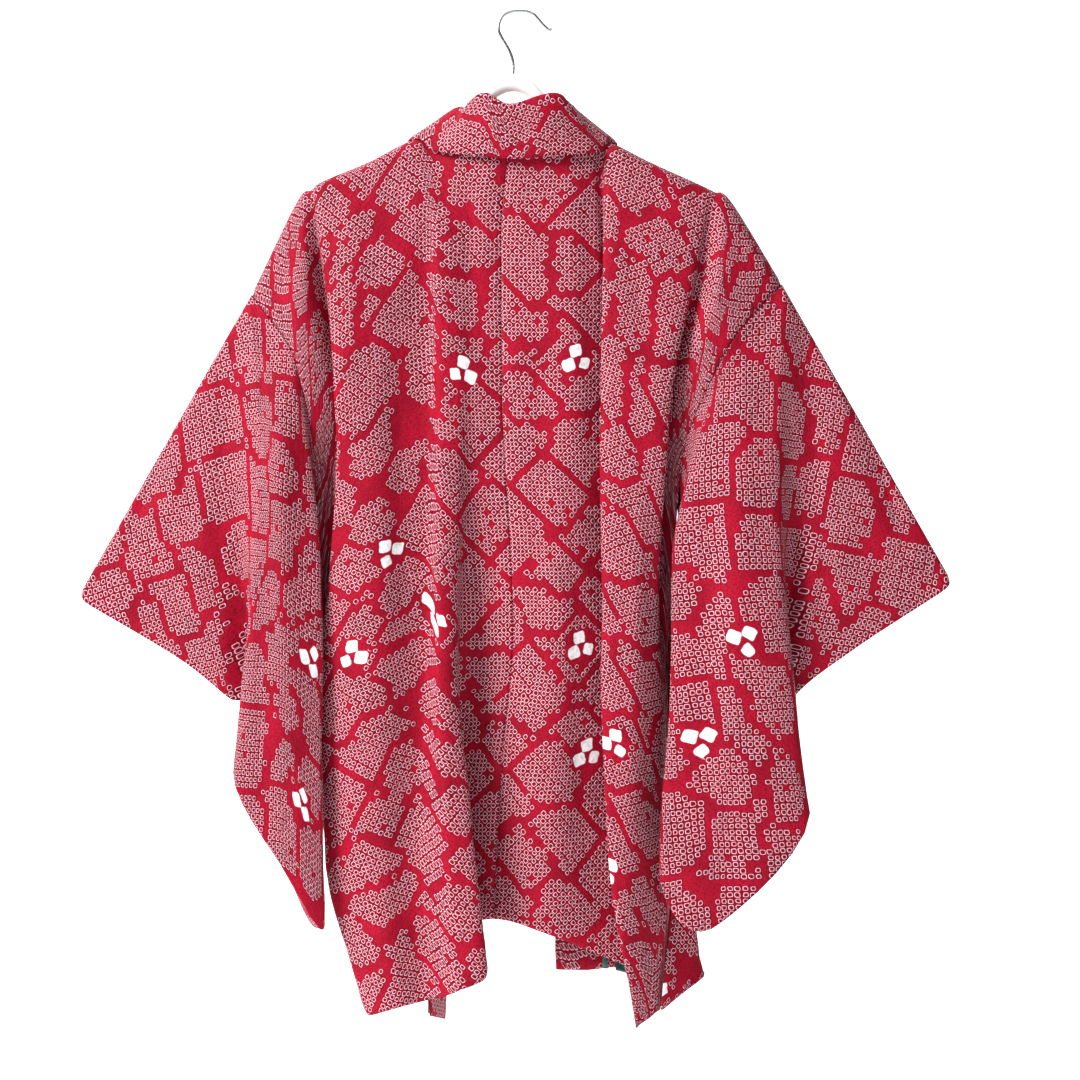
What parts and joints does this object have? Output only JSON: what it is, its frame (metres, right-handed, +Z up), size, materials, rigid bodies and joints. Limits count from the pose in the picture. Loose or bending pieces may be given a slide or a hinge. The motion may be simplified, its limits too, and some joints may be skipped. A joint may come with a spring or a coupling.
{
  "type": "haori on a hanger",
  "caption": "Short kimono jacket of tie-dyed silk hung flat on a moulded hanger with a wire hook; wide sleeves open beside the body, folded collar band down to the hem.",
  "frame": {"origin": "inner top of the wire hook, where it hangs on a rail", "axes": "+X towards the wearer's right, which is the picture's right; -Y towards the back, which faces the picture's camera; +Z up"},
  "size_m": [0.8425, 0.153, 0.9811],
  "materials": {
    "silk": "soft sheen, puckered by tie-dyeing, crimson with white rings",
    "hanger_white": "smooth moulded",
    "hook_chrome": "polished"
  },
  "bodies": {
    "root": {"panel_left": "silk", "panel_right": "silk", "gusset_left": "silk", "gusset_right": "silk", "sleeve_left": "silk", "sleeve_right": "silk", "collar": "silk", "hanger_body": "hanger_white", "hanger_hook": "hook_chrome"}
  },
  "joints": []
}
